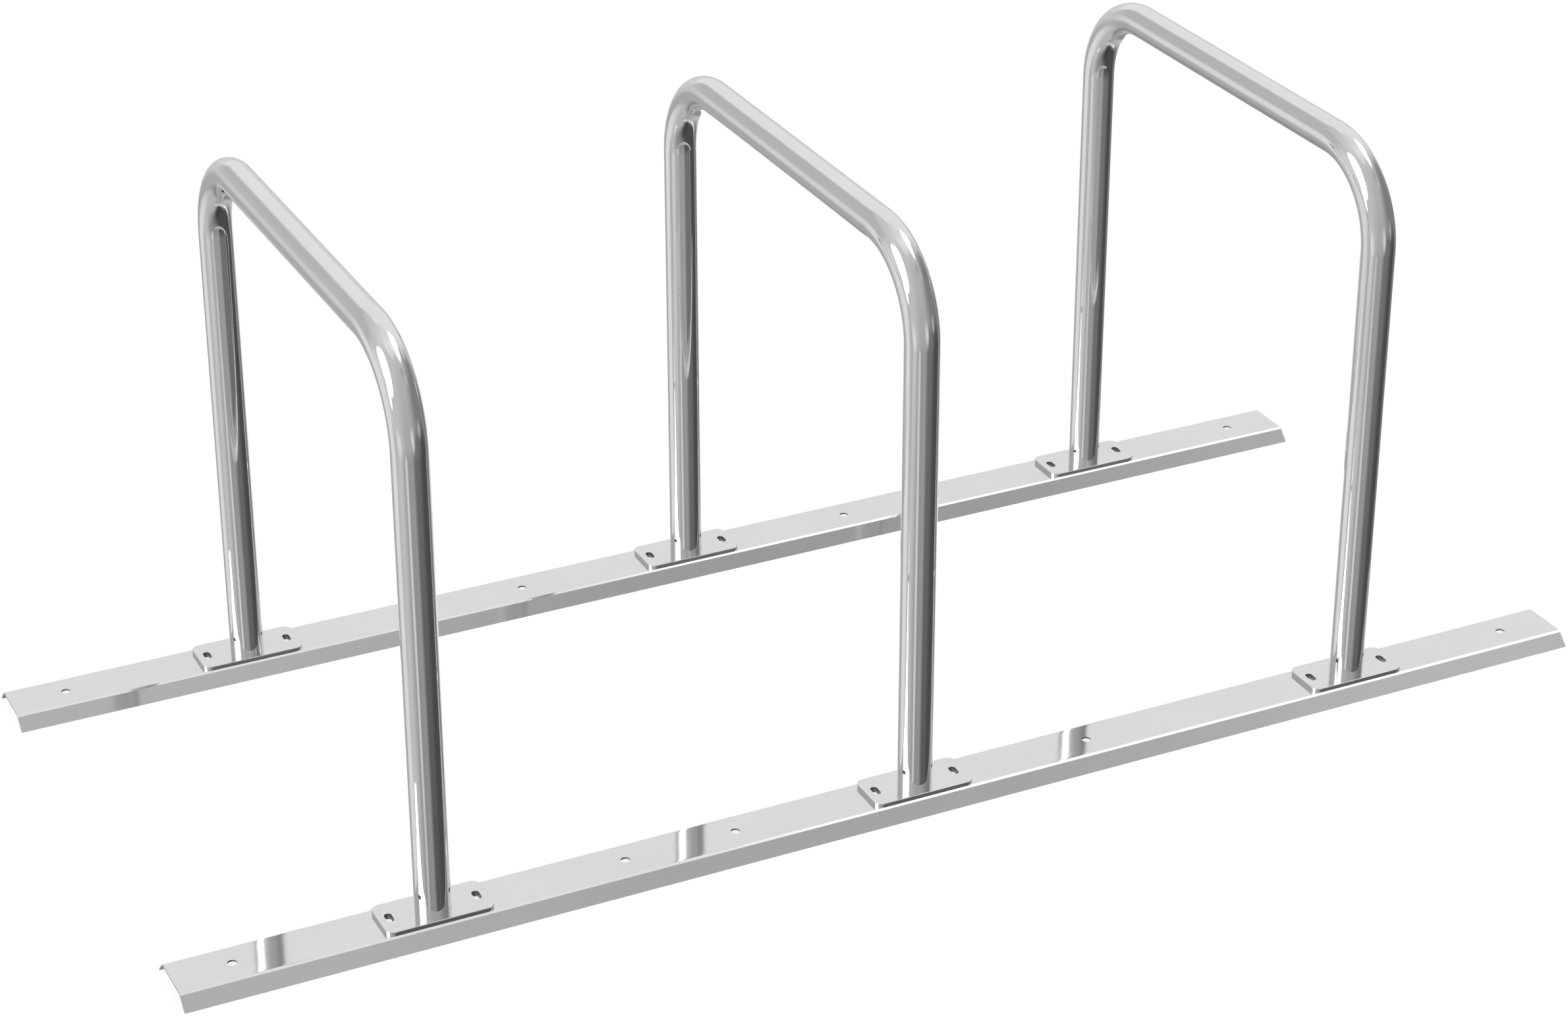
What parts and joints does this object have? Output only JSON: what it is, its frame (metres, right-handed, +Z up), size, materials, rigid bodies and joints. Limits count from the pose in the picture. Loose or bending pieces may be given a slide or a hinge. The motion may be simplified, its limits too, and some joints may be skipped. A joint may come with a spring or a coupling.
{
  "type": "row bike rack",
  "caption": "Row bike rack: round-tube hoops on slotted foot plates, set across folded ground rails with anchor holes; bikes stand between the hoops.",
  "frame": {"origin": "on the ground, under the middle of the rack", "axes": "+X along the rails, +Y from the front rail to the rear rail, +Z up"},
  "size_m": [2.1, 0.8608, 0.8244],
  "materials": {
    "hoop_steel": "mirror-polished steel tube",
    "rail_steel": "mirror-polished folded steel sheet",
    "plate_steel": "mirror-polished steel plate",
    "weld_steel": "weld ground flush and polished",
    "fastener_steel": "plain stainless fasteners"
  },
  "bodies": {
    "root": {"front_rail": "rail_steel", "rear_rail": "rail_steel", "left_hoop_tube": "hoop_steel", "left_hoop_front_plate": "plate_steel", "left_hoop_front_weld": "weld_steel", "left_hoop_rear_plate": "plate_steel", "left_hoop_rear_weld": "weld_steel", "left_hoop_weld_nuts": "fastener_steel", "left_hoop_washers": "fastener_steel", "left_hoop_bolts": "fastener_steel", "middle_hoop_tube": "hoop_steel", "middle_hoop_front_plate": "plate_steel", "middle_hoop_front_weld": "weld_steel", "middle_hoop_rear_plate": "plate_steel", "middle_hoop_rear_weld": "weld_steel", "middle_hoop_weld_nuts": "fastener_steel", "middle_hoop_washers": "fastener_steel", "middle_hoop_bolts": "fastener_steel", "right_hoop_tube": "hoop_steel", "right_hoop_front_plate": "plate_steel", "right_hoop_front_weld": "weld_steel", "right_hoop_rear_plate": "plate_steel", "right_hoop_rear_weld": "weld_steel", "right_hoop_weld_nuts": "fastener_steel", "right_hoop_washers": "fastener_steel", "right_hoop_bolts": "fastener_steel"}
  },
  "joints": []
}
